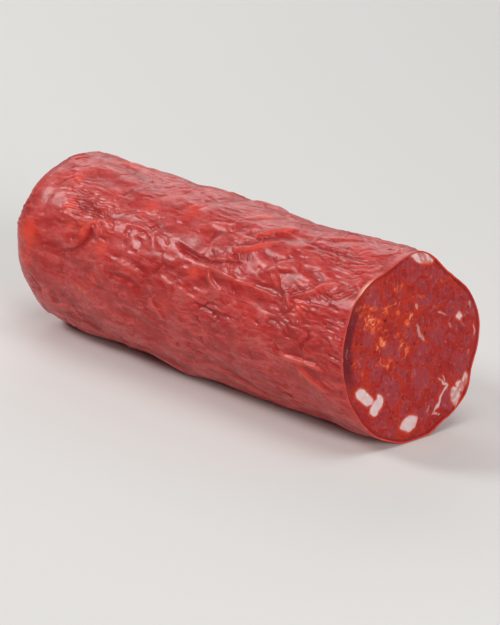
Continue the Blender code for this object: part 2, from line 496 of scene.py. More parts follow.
def patches(grid, long, wide, seed):
    """Pillows and hollows of about that size, which meet along creases."""
    draw = np.random.default_rng(seed)
    around = 2 * math.pi * CORE_HEIGHT
    along = grid.along + 0.3 * long * grid.noise(1.5 * long, 1.5 * long, seed + 1)
    across = (grid.angle - UNDERSIDE) * CORE_HEIGHT + 0.3 * long * grid.noise(1.5 * long, long, seed + 2)
    rows = int(grid.along.max() / long) + 3
    columns = round(around / wide)
    first = np.full(grid.shape, np.inf)
    second = np.full(grid.shape, np.inf)
    rise = np.zeros(grid.shape)
    for row in range(rows):
        for column in range(columns):
            x = (row - 1 + draw.uniform(-0.6, 0.6) + 0.5 * (column % 2)) * long
            y = (column + draw.uniform(-0.6, 0.6)) * wide
            height = draw.normal(0, 1)
            gap = (across - y + around / 2) % around - around / 2
            far = np.hypot((along - x) / long, gap / wide)
            nearer = far < first
            second = np.where(nearer, first, np.minimum(second, far))
            rise = np.where(nearer, height, rise)
            first = np.where(nearer, far, first)
    return rise * smoothstep(second - first, -0.1, 0.7)


def relief(grid):
    """The larger relief under the film."""
    height = 0.20 * grid.noise(16, 9, 13) + 0.05 * grid.noise(7, 4, 14)
    return height + 0.32 * patches(grid, 19, 10, 11) + 0.13 * patches(grid, 9, 5, 17)


def bumps(grid, spots):
    """The highest of some round or long spots: (x, angle), half length, half width, strength."""
    field = np.zeros(grid.shape)
    for (x, angle), half_length, half_width, strength in spots:
        along, across = grid.offset(x, angle)
        spot = np.exp(-((along / half_length) ** 2) - (across / half_width) ** 2)
        field = np.maximum(field, strength * spot)
    return field


def rest_lengths(places, excess, turn):
    """Lengths that the film's threads want: round, along, and the two diagonals."""
    right = np.roll(places, -1, 1)
    round_ = length_of(right - places)
    along = length_of(places[1:] - places[:-1])
    stretch_round = excess * np.cos(turn) ** 2
    stretch_along = excess * np.sin(turn) ** 2
    shear = excess * np.sin(turn) * np.cos(turn)
    plain_a = length_of(right[1:] - places[:-1])
    plain_b = length_of(places[1:] - right[:-1])
    both = (round_[:-1] ** 2 * stretch_round[:-1] + along**2 * stretch_along[:-1])
    mixed = 2 * shear[:-1] * round_[:-1] * along
    return (
        round_ * (1 + stretch_round),
        along * (1 + stretch_along[:-1]),
        np.sqrt(plain_a**2 + 2 * both + mixed),
        np.sqrt(plain_b**2 + 2 * both - mixed),
    )


def pull(gap, rest, push):
    """The move of each end of a thread that brings it closer to its own length."""
    far = length_of(gap)
    return (push / 2 * (far - rest) / far)[..., None] * gap


def bend_force(moved):
    """The Laplacian of the film's displacement over the grid."""
    force = np.roll(moved, 1, 1) + np.roll(moved, -1, 1) - 4 * moved
    force[1:] += moved[:-1]
    force[:-1] += moved[1:]
    force[0] += moved[0]
    force[-1] += moved[-1]
    return force


def wrinkle(grid, seeds, excess, turn, level):
    """Relaxes a film that is longer than the ground it sticks to, and returns its places.

    excess is how much too long it is, turn the direction of that: 0 is round the sausage.
    """
    places = grid.places.astype(np.float32)
    normals = grid.normals.astype(np.float32)
    rest = [item.astype(np.float32) for item in rest_lengths(grid.places, excess, turn)]
    film = places + (seeds[..., None] * grid.normals).astype(np.float32)
    for _ in range(level["iterations"]):
        for first in (0, 1):  # threads round the log: the even ones, then the odd ones
            ends = np.roll(film, -first, 1)
            move = pull(ends[:, 1::2] - ends[:, 0::2], rest[0][:, first::2], PUSH)
            film[:, first::2] += move
            film[:, 1 - first :: 2] -= np.roll(move, first, 1)
        for first in (0, 1):  # threads along it
            count = (len(film) - first) // 2
            ends = film[first : first + 2 * count]
            move = pull(ends[1::2] - ends[0::2], rest[1][first : first + 2 * count : 2][:count], PUSH)
            ends[0::2] += move
            ends[1::2] -= move
        right = np.roll(film, -1, 1)
        move_a = pull(right[1:] - film[:-1], rest[2], SHEAR_PUSH / 2)
        move_b = pull(film[1:] - right[:-1], rest[3], SHEAR_PUSH / 2)
        film[:-1] += move_a + np.roll(move_b, 1, 1)
        film[1:] -= np.roll(move_a, 1, 1) + move_b
        shift = film - places
        shift -= level["bending"] * bend_force(bend_force(shift))
        height = dot(shift, normals)[..., None]
        sideways = (shift - height * normals) * (1 - SLIP)
        height *= np.where(height > 0, 1 - level["sticking"], 1 - CORE_PUSH)
        film = places + sideways + height * normals
    return film.astype(float)


def wrinkled(skin):
    """The casing: relief, then the film relaxed on ever finer grids.

    Returns the smooth base, the casing, how crinkled it is and how high its named folds stand.
    """
    base = skin.grid()
    half = base.every(2)
    below = (base.angle - UNDERSIDE + math.pi) % (2 * math.pi) - math.pi
    pressed = 1 - np.exp(-((below / PRESSED) ** 4))
    calm = pressed * smoothstep(base.radius, *TIP_FADE)
    calm *= 0.4 + 0.6 * smoothstep(base.along.max() - base.along, 0, CALM_AT_CUT)
    turn = math.radians(TURN_SPREAD) * half.noise(34, 26, 22)
    excess = {
        4: 0.002 + 0.022 * np.clip(0.5 * half.noise(26, 18, 21) + 0.3, 0, 1),
        2: 0.002 + 0.030 * np.clip(0.6 * half.noise(16, 9, 23), 0, 1) + 0.12 * bumps(half, CRINKLES),
        1: 0.004 + 0.09 * np.clip(0.7 * half.noise(11, 5, 24) - 0.15, 0, 1) + bumps(half, CRINKLES),
    }
    ground = half.places + (relief(half) * calm[::2, ::2])[..., None] * half.normals
    film = Grid(ground[::2, ::2], SPACING * 4)
    for level in LEVELS:
        step = level["step"]
        if step < 4:
            moved = doubled(film.places - under, base.every(step).shape)
            start = ground if step == 2 else doubled(ground, base.shape)
            under = start
            film = Grid(start + moved, SPACING * step)
            if step == 1:
                direction = doubled(turn, base.shape)
                loose = np.clip(doubled(excess[1], base.shape) / 0.08, 0, 1)
                named = named_folds(film)
                lift = named + seeded_folds(film, direction, 0.3 + 0.7 * loose, LARGE_FOLDS)
                lift += seeded_folds(film, direction, 0.1 + 0.9 * loose, FINE_FOLDS)
                lift *= pressed
                film = Grid(film.places + lift[..., None] * film.normals, SPACING)
        else:
            under = film.places
        still = calm[::step, ::step]
        if step == 1:
            more, direction = doubled(excess[1], base.shape), doubled(turn, base.shape)
        else:
            more, direction = excess[step][:: step // 2, :: step // 2], turn[:: step // 2, :: step // 2]
        seeds = level["seed_height"] * film.noise(*level["seed_size"], 30 + step) * still
        film = Grid(wrinkle(film, seeds, more * still, direction, level), SPACING * step)
    return base, Grid(in_box(film.places), SPACING), doubled(excess[1], base.shape) * calm, named


# ---------------------------------------------------------------- meshes


def make_object(name, points, faces, material, values, normals=None):
    """A smooth mesh from places in millimetres, with one named number a point for each of values."""
    mesh = bpy.data.meshes.new(name)
    sizes = np.array([len(face) for face in faces], dtype=np.int32)
    starts = np.concatenate(([0], np.cumsum(sizes)[:-1]))
    mesh.vertices.add(len(points))
    mesh.vertices.foreach_set("co", (points * MM).ravel())
    mesh.loops.add(int(sizes.sum()))
    mesh.loops.foreach_set("vertex_index", np.concatenate([np.ravel(face) for face in faces]))
    mesh.polygons.add(len(faces))
    mesh.polygons.foreach_set("loop_start", starts)
    mesh.update(calc_edges=True)
    mesh.validate()
    mesh.materials.append(material)
    mesh.shade_smooth()
    for attribute, numbers in values.items():
        layer = mesh.attributes.new(attribute, "FLOAT", "POINT")
        layer.data.foreach_set("value", np.asarray(numbers, dtype=np.float32))
    if normals is not None:
        mesh.normals_split_custom_set_from_vertices(normals.tolist())
    piece = bpy.data.objects.new(name, mesh)
    bpy.context.scene.collection.objects.link(piece)
    return piece


def loop_points(mesh):
    corners = np.empty(len(mesh.loops), dtype=np.int32)
    mesh.loops.foreach_get("vertex_index", corners)
    return corners


def set_uv(piece, around, along):
    """Unwraps a band of the casing: u goes once round it, v along it. The seam is on the underside."""
    mesh = piece.data
    corners = loop_points(mesh)
    u = around[corners]
    starts = np.empty(len(mesh.polygons), dtype=np.int32)
    mesh.polygons.foreach_get("loop_start", starts)
    owner = np.repeat(np.arange(len(starts)), np.diff(np.append(starts, len(u))))
    highest = np.maximum.reduceat(u, starts)
    u = np.where(highest[owner] - u > 0.5, u + 1, u)
    layer = mesh.uv_layers.new(name="OFBake")
    layer.data.foreach_set("uv", np.column_stack((u * 0.98 + 0.005, along[corners])).ravel())


def casing_lip(skin, film):
    """Rings that turn the casing's edge over at the cut: up to a thin lip and back down inside."""
    edge = film.places[-1]
    outwards = film.normals[-1]
    outwards = outwards - np.outer(outwards @ skin.cut_normal, skin.cut_normal)
    outwards /= length_of(outwards)[:, None]
    angles = np.degrees(film.angle[-1]) % 360
    stand = LIP_HEIGHT * (0.35 + 0.65 * smoothstep(noise((4, COLUMNS), 1, 9, 41)[0], -1.0, 1.2))
    stand += LIP_CURL * np.exp(-(((angles - LIP_CURL_AT) / LIP_CURL_SPREAD) ** 2))
    rings = []
    for out, depth in ((0.5, 0.02), (0.9, 0.09), (1.0, 0.24), (0.8, 0.38), (0.1, 0.48), (-3.0, 0.54)):
        up = SHORT_OF_CUT + out * stand if out > 0 else out * LIP_HEIGHT * np.ones(COLUMNS)
        rings.append(edge + up[:, None] * skin.cut_normal - depth * outwards)
    return in_box(np.array(rings)), edge - 0.46 * outwards


def ring_strides(film):
    """How many columns apart a ring's points are: more near the tip, where the rings are small."""
    strides = np.ones(film.shape[0], dtype=int)
    for limit, stride in CAP_STRIDES:
        strides[film.radius.mean(1) < limit] = stride
    return strides


def band_faces(strides, tip):
    """Faces between a band's rings. Where a ring has half as many points, triangles join them."""
    first = np.concatenate(([0], np.cumsum(COLUMNS // strides)))
    faces = []
    for row in range(len(strides) - 1):
        wide, next_wide = strides[row], strides[row + 1]
        starts = np.arange(0, COLUMNS, wide)
        a = first[row] + starts // wide
        b = first[row] + (starts + wide) % COLUMNS // wide
        d = first[row + 1] + starts // next_wide
        c = first[row + 1] + (starts + wide) % COLUMNS // next_wide
        if next_wide == wide:
            faces += np.stack((a, b, c, d), -1).tolist()
        else:
            middle = first[row + 1] + (starts + next_wide) // next_wide
            for corners in ((a, middle, d), (a, b, middle), (b, c, middle)):
                faces += np.stack(corners, -1).tolist()
    if tip:
        ring = np.arange(COLUMNS // strides[0])
        point = np.full(len(ring), first[-1])
        faces += np.stack((np.roll(ring, -1), ring, point), -1).tolist()
    return faces


def casing_bands(skin, film, values, material):
    """The casing as a row of meshes that share their border rings and normals."""
    lip, cut_border = casing_lip(skin, film)
    rows = np.concatenate((film.places, lip))
    normals = Grid(rows, SPACING).normals
    strides = np.concatenate((ring_strides(film), np.ones(len(lip), dtype=int)))
    values = {
        name: np.concatenate((grid, np.repeat(grid[-1:], len(lip), 0))) for name, grid in values.items()
    }
    values["lip"] = np.zeros(rows.shape[:2])
    values["lip"][-len(lip):] = 1.0
    values["lip"][-len(lip) - 2 : -len(lip)] = 0.5
    angles = np.degrees(film.angle[-1]) % 360
    # Painted highlight where the lip has curled
    values["curl"] = values["lip"] * 0.9 * np.exp(-(((angles - LIP_CURL_AT) / LIP_HIGHLIGHT_SPREAD) ** 2))
    around = np.broadcast_to(np.arange(COLUMNS) / COLUMNS, rows.shape[:2])
    borders = np.linspace(0, len(rows) - 1, BANDS + 1).round().astype(int)
    pieces = []
    for band, (start, end) in enumerate(zip(borders, borders[1:])):
        cut = slice(start, end + 1)

        def kept(grid):
            """The points that this band uses, with the tip of the dome last."""
            used = [row[::stride] for row, stride in zip(grid[cut], strides[cut])]
            if band == 0:
                used.append(grid[0].mean(0, keepdims=True))
            return np.concatenate(used)

        piece = make_object(f"casing_{band + 1}", kept(rows), band_faces(strides[cut], band == 0),
                            material, {name: kept(grid) for name, grid in values.items()},
                            kept(normals))
        along = (np.arange(len(rows)) - start) / (end - start) * 0.98 + 0.01
        along = np.broadcast_to(along[:, None], rows.shape[:2])
        set_uv(piece, kept(around), kept(along))
        pieces.append(piece)
    return pieces, cut_border


# ---------------------------------------------------------------- the cut


# The larger grains of lean meat: (y, up), half size, purple (1) or red (0)
GRAINS = (
    ((-13.5, 17.7), 3.6, 0.95), ((-9.0, 18.3), 2.4, 0.8), ((-3.4, 17.3), 2.0, 1.0),
    ((3.4, 23.0), 2.8, 0.75), ((7.7, 13.6), 2.9, 1.0), ((11.6, 19.2), 3.0, 0.7),
    ((18.0, 9.1), 3.0, 0.85), ((10.6, 1.7), 3.4, 1.0), ((19.5, 3.0), 3.4, 0.5),
    ((15.1, -0.1), 2.2, 0.6), ((6.0, -3.0), 4.2, 0.6), ((3.4, -10.1), 3.9, 0.85),
    ((-10.2, -9.0), 4.6, 0.8), ((-9.5, 1.9), 2.8, 1.0), ((-16.4, 8.0), 3.4, 0.95),
    ((-19.0, 1.4), 2.6, 0.6), ((0.0, 4.6), 2.5, 0.7), ((19.4, -8.4), 3.4, 0.9),
    ((13.1, -5.1), 2.9, 0.4), ((13.4, -17.3), 3.2, 0.7), ((-3.0, -16.0), 2.4, 0.5),
    ((-12.0, -18.0), 3.6, 0.6), ((-13.2, -4.0), 2.6, 0.9), ((-5.2, -6.0), 2.9, 0.7),
    ((5.6, 18.2), 1.9, 0.7), ((-2.4, 21.6), 2.4, 0.4), ((14.4, 13.0), 2.6, 0.5),
    ((22.6, -1.6), 2.2, 0.6), ((-10.4, -22.0), 3.2, 0.5), ((3.1, -20.2), 3.0, 0.5),
    ((-19.8, -14.0), 2.6, 0.4), ((0.5, 11.8), 2.0, 0.2), ((-8.0, 8.0), 2.2, 0.15),
    ((-20.4, 8.4), 2.0, 0.3), ((-21.6, -3.4), 2.6, 0.5), ((8.6, 8.0), 2.0, 0.2),
)
# Fat: how plainly white it is, and its outline. Less white fat has orange paste worked into it.
FAT = (
    (1.0, ((-20.9, -6.9), (-18.9, -7.3), (-17.2, -9.6), (-15.9, -11.4), (-16.5, -12.6),
           (-18.1, -12.8), (-20.3, -11.1), (-22.1, -8.7))),
    (1.0, ((-13.7, -10.1), (-12.0, -11.6), (-12.3, -13.2), (-14.1, -15.2), (-16.0, -16.0),
           (-17.7, -14.8), (-16.6, -12.9), (-15.0, -11.4))),
    (1.0, ((-3.8, -19.3), (-1.5, -19.3), (0.5, -20.2), (-0.5, -22.4), (-2.2, -24.0), (-4.5, -23.5),
           (-6.5, -21.7))),
    (0.25, ((21.4, -11.5), (22.2, -13.7), (21.0, -15.6), (19.3, -14.1))),
    (0.35, ((18.3, -13.4), (20.2, -15.4), (19.0, -17.0), (16.9, -15.0))),
    (0.5, ((16.2, -15.0), (18.7, -17.3), (17.5, -19.6), (16.5, -21.4), (14.6, -16.6))),
    (0.7, ((19.8, 7.1), (20.9, 5.4), (20.0, 4.6), (18.5, 5.6))),
    (0.3, ((2.3, 27.2), (5.0, 27.9), (8.2, 26.6), (11.0, 24.2), (9.4, 23.7), (6.8, 23.9),
           (4.2, 25.6))),
    (0.8, ((2.1, 27.2), (4.2, 27.6), (6.0, 25.6), (6.6, 24.2), (4.4, 25.4))),
)
# Thin threads of fat and sinew: points, half width, whiteness
THREADS = (
    (((10.8, -11.2), (12.4, -12.7), (13.8, -13.7), (11.8, -15.0), (10.3, -17.0), (9.1, -19.0),
      (7.0, -21.2)), 0.38, 0.8),
    (((12.2, -10.9), (12.9, -12.4)), 0.2, 0.7),
    (((7.4, -21.4), (8.6, -21.4), (9.8, -22.2)), 0.3, 0.7),
    (((6.0, -18.2), (4.6, -20.0)), 0.35, 0.35),
    (((25.7, 2.0), (26.2, 0.4), (25.8, -1.2)), 0.28, 0.5),
    (((24.3, 9.4), (24.8, 7.0)), 0.3, 0.35),
    (((23.3, -5.4), (22.6, -7.0)), 0.25, 0.35),
    (((3.1, 12.9), (3.4, 11.0)), 0.4, 0.45),
    (((2.9, 6.4), (4.3, 3.6), (5.6, 1.3)), 0.55, 0.4),
    (((12.0, 8.6), (14.4, 7.3)), 0.35, 0.4),
    (((15.6, 4.4), (16.8, 2.8)), 0.3, 0.25),
    (((-24.6, 6.0), (-24.9, 2.4)), 0.25, 0.2),
)
# Loose orange crumbs of paste and fat: (y, up), half size, strength
CRUMBS = (
    ((-17.1, 15.9), 1.3, 0.7), ((-16.4, 12.6), 1.7, 0.9), ((-14.0, 10.4), 2.1, 1.0),
    ((-11.6, 9.4), 1.6, 0.8), ((-8.1, 13.4), 1.6, 0.75), ((-4.6, 19.0), 1.5, 0.7),
    ((-2.6, 18.2), 1.3, 0.6), ((0.2, 9.2), 1.6, 0.8), ((-1.0, 7.4), 1.4, 0.6),
    ((-5.0, 6.8), 1.2, 0.5), ((-3.8, 0.9), 1.7, 0.8), ((-2.0, -0.8), 1.4, 0.7),
    ((-12.0, -1.2), 1.5, 0.8), ((-9.2, -2.0), 1.6, 0.7), ((-10.4, 4.7), 0.9, 0.7),
    ((-13.7, 3.2), 1.2, 0.7), ((-21.4, -0.2), 0.9, 0.6), ((-1.8, -14.3), 1.2, 0.4),
    ((7.6, 22.4), 0.9, 0.5), ((5.3, 14.6), 1.0, 0.4), ((6.3, 0.6), 1.1, 0.4),
    ((-19.4, 14.0), 1.2, 0.5), ((2.6, 14.0), 0.9, 0.5), ((-6.6, 12.4), 1.2, 0.5),
    ((-17.6, 10.6), 1.3, 0.8), ((-6.0, 14.6), 1.0, 0.7), ((2.6, 4.4), 1.0, 0.6),
    ((-9.6, 14.0), 1.2, 0.7), ((-18.6, -3.0), 0.9, 0.5), ((-7.6, -3.6), 1.0, 0.5),
)
# Small holes between the grains
PORES = (
    (1.2, 9.1), (-5.5, -2.3), (-0.7, -5.8), (-4.7, -13.7), (-0.9, -17.2), (-8.8, 10.8),
    (-15.2, 2.3), (-19.5, 5.7), (-14.9, 19.8), (7.1, 5.4), (-21.0, 6.1), (7.2, -10.6),
    (-22.9, 0.4), (-7.9, -17.1), (6.9, 3.2), (-0.6, -4.4), (9.9, -21.7), (7.6, -22.0),
)
# The paste is richest here: (y, up), half width, half height
PASTE = ((-6.0, 9.0), 15.0, 9.0)


def closed_curve(points, steps=8):
    """A smooth closed outline through the points."""
    points = np.array(points)
    curve = []
    for i in range(len(points)):
        a, b, c, d = (points[(i + k) % len(points)] for k in (-1, 0, 1, 2))
        for t in np.linspace(0, 1, steps, endpoint=False):
            curve.append(between(a, b, c, d, t))
    return np.array(curve)


def distance_to_line(y, up, line):
    far = np.full(y.shape, np.inf)
    share = np.zeros(y.shape)
    for i, (start, end) in enumerate(zip(line, line[1:])):
        step = end - start
        t = np.clip(((y - start[0]) * step[0] + (up - start[1]) * step[1]) / (step @ step), 0, 1)
        gap = np.hypot(y - start[0] - t * step[0], up - start[1] - t * step[1])
        share = np.where(gap < far, (i + t) / (len(line) - 1), share)
        far = np.minimum(far, gap)
    return far, share


def inside(y, up, outline):
    """Whether each place is inside a closed outline."""
    crossings = np.zeros(y.shape, dtype=bool)
    for (y1, up1), (y2, up2) in zip(outline, np.roll(outline, -1, 0)):
        if up1 == up2:
            continue
        spans = (up1 > up) != (up2 > up)
        crossings ^= spans & (y < (y2 - y1) * (up - up1) / (up2 - up1) + y1)
    return crossings


def square_disc():
    """A square grid bent into the unit disc, as distance from the middle and direction."""
    side = np.linspace(-1, 1, CUT_CELLS + 1)
    u, v = np.meshgrid(side, side)
    y = u * np.sqrt(1 - v**2 / 2)
    up = v * np.sqrt(1 - u**2 / 2)
    return np.hypot(y, up), np.arctan2(up, y)


class Cut:
    """The meat's cut face: a dense grid of places with what lies at each."""

    def __init__(self, skin, border):
        self.middle = skin.cut_middle
        self.normal = skin.cut_normal
        self.up_axis = np.cross(self.normal, (0, 1, 0))
        self.up_axis *= np.sign(self.up_axis[2])
        flat = border - self.middle
        rim_y, rim_up = flat[:, 1], flat @ self.up_axis
        turn = np.arctan2(rim_up, rim_y)
        order = np.argsort(turn)
        share, direction = square_disc()
        reach = np.interp(direction, turn[order], np.hypot(rim_y, rim_up)[order], period=2 * math.pi)
        self.y = share * reach * np.cos(direction)
        self.up = share * reach * np.sin(direction)
        self.from_rim = (1 - share) * reach
        self.shape = self.y.shape
        self.warp_y = self.y + 0.55 * self.noise(1.6, 51) + 0.2 * self.noise(0.6, 52)
        self.warp_up = self.up + 0.55 * self.noise(1.6, 53) + 0.2 * self.noise(0.6, 54)
        self.set_grains()
        self.set_fat()
        self.set_crumbs()

    def noise(self, size, seed):
        """Smooth noise with features of about that many millimetres."""
        return noise(self.shape, size / CUT_SPACING, size / CUT_SPACING, seed)

    def set_grains(self):
        draw = np.random.default_rng(55)
        grains = [(y, up, size, purple) for (y, up), size, purple in GRAINS]
        while len(grains) < GRAIN_COUNT:
            y, up = draw.uniform(-28, 28, 2)
            size = draw.uniform(1.1, 2.3)
            purple = draw.uniform(0, 1) ** 2.2
            if all(math.hypot(y - g[0], up - g[1]) > 0.75 * (size + g[2]) for g in grains):
                grains.append((y, up, size, purple))
            elif draw.uniform() < 0.02:
                grains.append((y, up, size * 0.6, purple))
        first = np.full(self.shape, np.inf)
        second = np.full(self.shape, np.inf)
        tone = np.zeros(self.shape)
        own_size = np.ones(self.shape)
        for y, up, size, purple in grains:
            lean, squash = draw.uniform(0, math.pi), draw.uniform(0.75, 1.0)
            gap_y, gap_up = self.warp_y - y, self.warp_up - up
            along = gap_y * math.cos(lean) + gap_up * math.sin(lean)
            across = (gap_up * math.cos(lean) - gap_y * math.sin(lean)) / squash
            far = np.hypot(along, across) / size
            nearer = far < first
            second = np.where(nearer, first, np.minimum(second, far))
            tone = np.where(nearer, purple, tone)
            own_size = np.where(nearer, size, own_size)
            first = np.where(nearer, far, first)
        border = (second - first) * own_size
        (y, up), half_width, half_height = PASTE
        paste = np.exp(-(((self.y - y) / half_width) ** 2) - ((self.up - up) / half_height) ** 2)
        self.paste = np.clip(paste + 0.25 * self.noise(4, 56), 0, 1)
        width = 0.55 + 0.75 * self.paste + 0.30 * self.noise(2.5, 57)
        self.seam = np.exp(-((border / np.clip(width, 0.2, None)) ** 2))
        loose = smoothstep(first, 0.85, 1.35)
        patchy = smoothstep(self.noise(3.0, 59) + 1.6 * self.paste, -1.0, 1.0)
        self.seam = np.maximum(self.seam, 0.85 * loose) * (0.25 + 0.75 * patchy)
        self.seam = np.clip(self.seam + 0.10 * self.noise(0.6, 60), 0, 1)
        tone = np.clip(tone + 0.14 * self.noise(1.2, 58) + 0.10 * self.noise(0.5, 50), 0, 1)
        self.tone = tone * smoothstep(border + 0.35 * self.noise(0.7, 49), 0.0, 2.0)
        self.grain = smoothstep(border, 0.1, 1.6)

    def set_fat(self):
        self.fat = np.zeros(self.shape)
        self.halo = np.zeros(self.shape)
        mottle = smoothstep(self.noise(0.8, 67) + 0.5 * self.noise(0.4, 68), -0.6, 1.0)
        wobble_y = self.y + 0.16 * self.noise(0.7, 61)
        wobble_up = self.up + 0.16 * self.noise(0.7, 62)
        for plain, outline in FAT:
            curve = closed_curve(outline)
            far = distance_to_line(wobble_y, wobble_up, np.vstack((curve, curve[:1])))[0]
            depth = np.where(inside(wobble_y, wobble_up, curve), far, -far)
            fill = smoothstep(depth, -0.2, 0.4)
            self.fat = np.maximum(self.fat, fill * (plain + (1 - plain) * mottle))
            self.halo = np.maximum(self.halo, np.exp(-((depth / 0.5) ** 2)))
            self.halo = np.maximum(self.halo, fill * (1 - plain) * (1 - mottle))
        for points, half_width, white in THREADS:
            far, share = distance_to_line(wobble_y, wobble_up, rounded(points, 6))
            taper = 0.35 + 0.65 * smoothstep(share, 0, 0.15) * smoothstep(1 - share, 0, 0.15)
            streak = white * (1 - smoothstep(far / (half_width * taper), 0.55, 1.25))
            self.fat = np.maximum(self.fat, streak)
            self.halo = np.maximum(self.halo, 0.5 * white * np.exp(-((far / (half_width + 0.4)) ** 2)))

    def spot(self, y, up, size):
        """A soft round spot, bent like the grains."""
        return np.exp(-((self.warp_y - y) ** 2 + (self.warp_up - up) ** 2) / size**2)

    def set_crumbs(self):
        ragged = self.noise(0.75, 63) + 0.4 * self.noise(0.35, 64)
        curls = np.exp(-((ragged / 0.45) ** 2))
        self.crumb = np.zeros(self.shape)
        for (y, up), size, strength in CRUMBS:
            self.crumb = np.maximum(self.crumb, strength * self.spot(y, up, 1.2 * size))
        scattered = smoothstep(self.noise(0.8, 65), 1.3, 2.1) * (0.3 + 0.9 * self.paste)
        self.crumb = np.clip(self.crumb * (0.3 + 0.9 * curls) + 0.5 * scattered, 0, 1)
        self.pore = np.zeros(self.shape)
        for y, up in PORES:
            self.pore = np.maximum(self.pore, self.spot(y, up, PORE_SIZE))
        tiny = smoothstep(self.noise(0.35, 66), 2.2, 2.9) * self.seam
        self.pore = np.clip(self.pore + 0.7 * tiny, 0, 1)
        left = smoothstep(-self.y, 14, 24) * smoothstep(self.up, -12, 0) * smoothstep(24 - self.up, 0, 6)
        self.dry = left * (1 - smoothstep(self.from_rim, 2.0, 4.8))
        self.dry = np.maximum(self.dry, 0.55 * (1 - smoothstep(self.from_rim, 0.3, 1.3)))

    def height(self):
        relief = 0.13 * self.grain - 0.12 * self.seam + 0.10 * self.fat - 0.45 * self.pore
        relief += 0.05 * self.noise(0.6, 71) * (0.4 + self.seam) + 0.16 * self.crumb * self.noise(0.4, 72)
        relief += 0.10 * self.noise(5, 73)
        calm = smoothstep(self.from_rim, 0, 1.2)
        return CUT_DEPTH + relief * calm

    def piece(self, material):
        height = self.height()
        places = (
            self.middle
            + self.y[..., None] * (0, 1, 0)
            + self.up[..., None] * self.up_axis
            + height[..., None] * self.normal
        )
        places = in_box(places)
        across = CUT_CELLS + 1
        index = np.arange(across * across).reshape(across, across)
        quads = np.stack((index[:-1, :-1], index[:-1, 1:], index[1:, 1:], index[1:, :-1]), -1)
        values = {name: getattr(self, name).ravel()
                  for name in ("tone", "seam", "fat", "halo", "crumb", "pore", "dry", "paste")}
        piece = make_object("cut_face", places.reshape(-1, 3), quads.reshape(-1, 4).tolist(),
                            material, values)
        corners = loop_points(piece.data)
        flat = np.column_stack((self.y.ravel(), self.up.ravel())) / 60 + 0.5
        layer = piece.data.uv_layers.new(name="OFBake")
        layer.data.foreach_set("uv", flat[corners].ravel())
        return piece


# ---------------------------------------------------------------- materials


class Nodes:
    """A material's node tree, with short ways to add what these materials use."""

    def __init__(self, name):
        self.material = bpy.data.materials.new(name)
        self.material.use_nodes = True
        self.tree = self.material.node_tree
        self.surface = self.tree.nodes["Principled BSDF"]
        self.place = self.tree.nodes.new("ShaderNodeTexCoord").outputs["Object"]

    def add(self, kind, **settings):
        node = self.tree.nodes.new("ShaderNode" + kind)
        for name, value in settings.items():
            setattr(node, name, value)
        return node

    def plug(self, value, socket):
        """Links an output to a socket, or sets the socket to a plain value."""
        if isinstance(value, bpy.types.NodeSocket):
            self.tree.links.new(value, socket)
        else:
            socket.default_value = value

    def attribute(self, name):
        return self.add("Attribute", attribute_name=name).outputs["Fac"]

    def noise(self, size_mm, detail=3.0, roughness=0.5, distortion=0.0, place=None):
        """Noise whose features are about that many millimetres, around 0.5."""
        node = self.add("TexNoise")
        self.plug(place or self.place, node.inputs["Vector"])
        node.inputs["Scale"].default_value = 1 / (size_mm * MM)
        node.inputs["Detail"].default_value = detail
        node.inputs["Roughness"].default_value = roughness
        node.inputs["Distortion"].default_value = distortion
        return node.outputs["Fac"]

    def ramp(self, value, low, high, to_low=0.0, to_high=1.0):
        node = self.add("MapRange", interpolation_type="SMOOTHSTEP")
        self.plug(value, node.inputs["Value"])
        for socket, number in (("From Min", low), ("From Max", high), ("To Min", to_low), ("To Max", to_high)):
            node.inputs[socket].default_value = number
        return node.outputs["Result"]

    def math(self, operation, a, b=0.0):
        node = self.add("Math", operation=operation)
        self.plug(a, node.inputs[0])
        self.plug(b, node.inputs[1])
        return node.outputs[0]

    def mix(self, share, a, b):
        node = self.add("Mix", data_type="RGBA")
        self.plug(share, node.inputs[0])
        self.plug(a, node.inputs[6])
        self.plug(b, node.inputs[7])
        return node.outputs[2]

    def bump(self, height, distance_mm):
        node = self.add("Bump")
        self.plug(height, node.inputs["Height"])
        node.inputs["Distance"].default_value = distance_mm * MM
        return node.outputs["Normal"]

    def set(self, **values):
        for name, value in values.items():
            self.plug(value, self.surface.inputs[name.replace("_", " ")])


